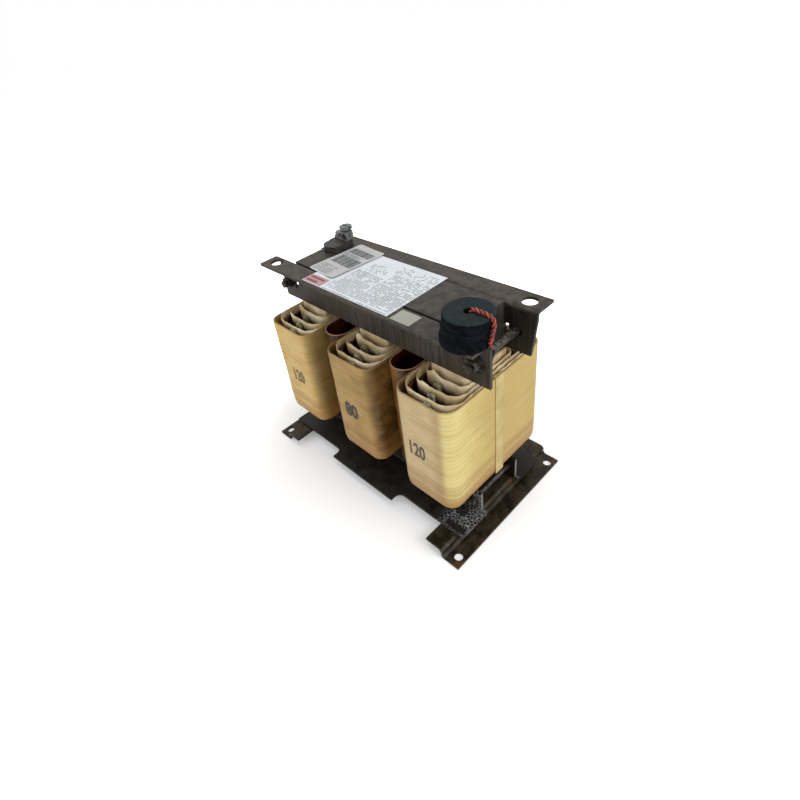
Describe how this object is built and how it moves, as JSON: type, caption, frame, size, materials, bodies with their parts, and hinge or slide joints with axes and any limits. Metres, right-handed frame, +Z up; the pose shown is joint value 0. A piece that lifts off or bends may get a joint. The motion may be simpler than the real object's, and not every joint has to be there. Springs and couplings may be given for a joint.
{
  "type": "control transformer",
  "caption": "Open-frame dry-type control transformer with coils in a row on a laminated core, clamped by steel brackets on mounting feet.",
  "frame": {"origin": "middle of the rectangle that the two feet stand on, at floor level", "axes": "+Z up; +X along the row of coils towards the end with the choke; -Y is the front, the side with the choke"},
  "size_m": [0.31, 0.18, 0.2709],
  "materials": {
    "core_steel": "varnished lamination edges, satin",
    "bracket_steel": "dark varnished sheet steel with drip streaks, half gloss",
    "foot_steel": "brown varnished sheet steel with rust, satin",
    "zinc_hardware": "dull zinc-plated steel",
    "lug_zinc": "zinc-plated steel",
    "barrier_board": "dark red-brown varnished board, glossy",
    "tape": "woven cotton tape",
    "coil_former": "varnished pressboard",
    "coil_winding": "varnished copper foil winding, dark red-brown",
    "coil_paper": "cream insulation paper",
    "duct_stick": "grey-green resin sticks",
    "coil_wrap": "cream insulation paper with amber varnish",
    "choke_core": "blue-black coated ring, matt",
    "lead_insulation": "red-orange insulation, satin",
    "ground_pad": "olive-dark varnished block",
    "label_white": "white label",
    "label_film": "white printed label",
    "label_grey": "pale grey-green label"
  },
  "bodies": {
    "root": {"barrier_left": "barrier_board", "barrier_right": "barrier_board", "bottom_bracket_front": "bracket_steel", "bottom_bracket_rear": "bracket_steel", "bottom_nuts": "zinc_hardware", "bottom_rod_left": "zinc_hardware", "bottom_rod_right": "zinc_hardware", "bottom_washers": "zinc_hardware", "choke_lead": "lead_insulation", "choke_ring_lower": "choke_core", "choke_ring_middle": "choke_core", "choke_ring_upper": "choke_core", "coil_1_collars": "coil_paper", "coil_1_duct_sticks": "duct_stick", "coil_1_former": "coil_former", "coil_1_inner_winding": "coil_winding", "coil_1_middle_winding": "coil_winding", "coil_1_outer_winding": "coil_winding", "coil_1_wrap": "coil_wrap", "coil_2_collars": "coil_paper", "coil_2_duct_sticks": "duct_stick", "coil_2_former": "coil_former", "coil_2_inner_winding": "coil_winding", "coil_2_middle_winding": "coil_winding", "coil_2_outer_winding": "coil_winding", "coil_2_wrap": "coil_wrap", "coil_3_collars": "coil_paper", "coil_3_duct_sticks": "duct_stick", "coil_3_former": "coil_former", "coil_3_inner_winding": "coil_winding", "coil_3_middle_winding": "coil_winding", "coil_3_outer_winding": "coil_winding", "coil_3_tape": "tape", "coil_3_wrap": "coil_wrap", "core_e_stack": "core_steel", "core_top_yoke": "core_steel", "foot_bolts": "zinc_hardware", "foot_left": "foot_steel", "foot_nuts": "zinc_hardware", "foot_right": "foot_steel", "ground_bolt": "lug_zinc", "ground_lug": "lug_zinc", "ground_lug_screw": "lug_zinc", "ground_pad": "ground_pad", "mark_label": "label_grey", "rating_label": "label_white", "top_bracket_front": "bracket_steel", "top_bracket_rear": "bracket_steel", "top_nuts": "zinc_hardware", "top_rod_left": "zinc_hardware", "top_rod_right": "zinc_hardware", "top_washers": "zinc_hardware", "tracking_label": "label_film"}
  },
  "joints": []
}
